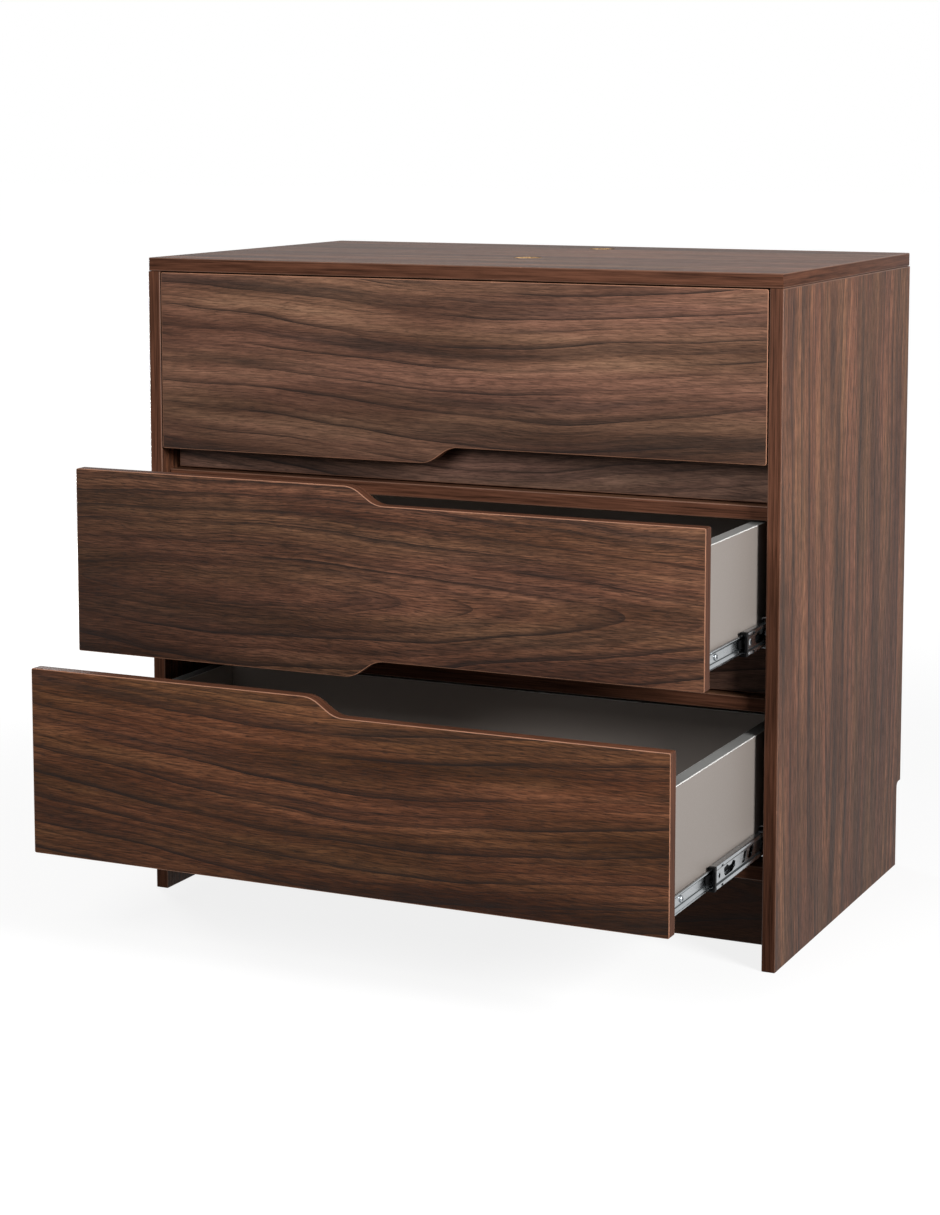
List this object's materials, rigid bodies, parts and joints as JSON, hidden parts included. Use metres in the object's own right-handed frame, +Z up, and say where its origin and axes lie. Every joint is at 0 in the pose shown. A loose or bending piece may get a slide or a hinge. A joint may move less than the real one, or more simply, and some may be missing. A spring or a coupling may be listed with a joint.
{
  "type": "chest of drawers",
  "caption": "Walnut-look chest of drawers with S-stepped finger-grip fronts, grey drawer boxes on telescopic slides, a plain top with round holes and a set-back plinth.",
  "frame": {"origin": "on the floor, at the middle of the box round the chest with its drawers as pictured", "axes": "+Z up, +Y from the front to the back, +X to the right as seen from the front"},
  "size_m": [0.8, 0.783, 0.777],
  "materials": {
    "walnut_board": "satin walnut-look melamine",
    "grey_board": "warm grey melamine",
    "walnut_hardboard": "thin printed hardboard",
    "zinc_steel": "bright zinc plate",
    "black_plastic": "moulded"
  },
  "bodies": {
    "carcass": {"side_panel_left": "walnut_board", "side_panel_right": "walnut_board", "top_panel": "walnut_board", "bottom_panel": "walnut_board", "plinth_front": "walnut_board", "plinth_rear": "walnut_board", "rail_upper": "walnut_board", "rail_lower": "walnut_board", "recess_panel_upper": "walnut_board", "recess_panel_lower": "walnut_board", "back_panel": "walnut_hardboard", "corner_block_upper_left": "black_plastic", "corner_block_upper_right": "black_plastic", "corner_block_lower_left": "black_plastic", "corner_block_lower_right": "black_plastic", "slide_1_left_cabinet_member": "zinc_steel", "slide_1_right_cabinet_member": "zinc_steel", "slide_2_left_cabinet_member": "zinc_steel", "slide_2_right_cabinet_member": "zinc_steel", "slide_3_left_cabinet_member": "zinc_steel", "slide_3_right_cabinet_member": "zinc_steel"},
    "drawer_1": {"drawer_1_front": "walnut_board", "drawer_1_box_front": "grey_board", "drawer_1_side_left": "grey_board", "drawer_1_side_right": "grey_board", "drawer_1_back": "grey_board", "drawer_1_bottom": "grey_board", "slide_1_left_drawer_member": "zinc_steel", "slide_1_right_drawer_member": "zinc_steel"},
    "drawer_2": {"drawer_2_front": "walnut_board", "drawer_2_box_front": "grey_board", "drawer_2_side_left": "grey_board", "drawer_2_side_right": "grey_board", "drawer_2_back": "grey_board", "drawer_2_bottom": "grey_board", "slide_2_left_drawer_member": "zinc_steel", "slide_2_right_drawer_member": "zinc_steel"},
    "drawer_3": {"drawer_3_front": "walnut_board", "drawer_3_box_front": "grey_board", "drawer_3_side_left": "grey_board", "drawer_3_side_right": "grey_board", "drawer_3_back": "grey_board", "drawer_3_bottom": "grey_board", "slide_3_left_drawer_member": "zinc_steel", "slide_3_right_drawer_member": "zinc_steel"},
    "runner_1_left": {"slide_1_left_middle_member": "zinc_steel", "slide_1_left_bumper": "black_plastic"},
    "runner_1_right": {"slide_1_right_middle_member": "zinc_steel", "slide_1_right_bumper": "black_plastic"},
    "runner_2_left": {"slide_2_left_middle_member": "zinc_steel", "slide_2_left_bumper": "black_plastic"},
    "runner_2_right": {"slide_2_right_middle_member": "zinc_steel", "slide_2_right_bumper": "black_plastic"},
    "runner_3_left": {"slide_3_left_middle_member": "zinc_steel", "slide_3_left_bumper": "black_plastic"},
    "runner_3_right": {"slide_3_right_middle_member": "zinc_steel", "slide_3_right_bumper": "black_plastic"}
  },
  "joints": [
    {"name": "drawer_1_pull", "type": "slide", "parent": "carcass", "child": "drawer_1", "axis": [0, -1, 0], "range_m": [0, 0.4]},
    {"name": "drawer_2_pull", "type": "slide", "parent": "carcass", "child": "drawer_2", "axis": [0, -1, 0], "range_m": [-0.19, 0.21]},
    {"name": "drawer_3_pull", "type": "slide", "parent": "carcass", "child": "drawer_3", "axis": [0, -1, 0], "range_m": [-0.287, 0.113]},
    {"name": "runner_1_left_slide", "type": "slide", "parent": "carcass", "child": "runner_1_left", "axis": [0, -1, 0], "range_m": [0, 0.2]},
    {"name": "runner_1_right_slide", "type": "slide", "parent": "carcass", "child": "runner_1_right", "axis": [0, -1, 0], "range_m": [0, 0.2]},
    {"name": "runner_2_left_slide", "type": "slide", "parent": "carcass", "child": "runner_2_left", "axis": [0, -1, 0], "range_m": [-0.076, 0.084]},
    {"name": "runner_2_right_slide", "type": "slide", "parent": "carcass", "child": "runner_2_right", "axis": [0, -1, 0], "range_m": [-0.076, 0.084]},
    {"name": "runner_3_left_slide", "type": "slide", "parent": "carcass", "child": "runner_3_left", "axis": [0, -1, 0], "range_m": [-0.16933, 0.06667]},
    {"name": "runner_3_right_slide", "type": "slide", "parent": "carcass", "child": "runner_3_right", "axis": [0, -1, 0], "range_m": [-0.16933, 0.06667]}
  ],
  "couplings": [
    {"joint": "runner_1_left_slide", "follows": "drawer_1_pull", "ratio": 0.5},
    {"joint": "runner_1_right_slide", "follows": "drawer_1_pull", "ratio": 0.5},
    {"joint": "runner_2_left_slide", "follows": "drawer_2_pull", "ratio": 0.4},
    {"joint": "runner_2_right_slide", "follows": "drawer_2_pull", "ratio": 0.4},
    {"joint": "runner_3_left_slide", "follows": "drawer_3_pull", "ratio": 0.59},
    {"joint": "runner_3_right_slide", "follows": "drawer_3_pull", "ratio": 0.59}
  ]
}
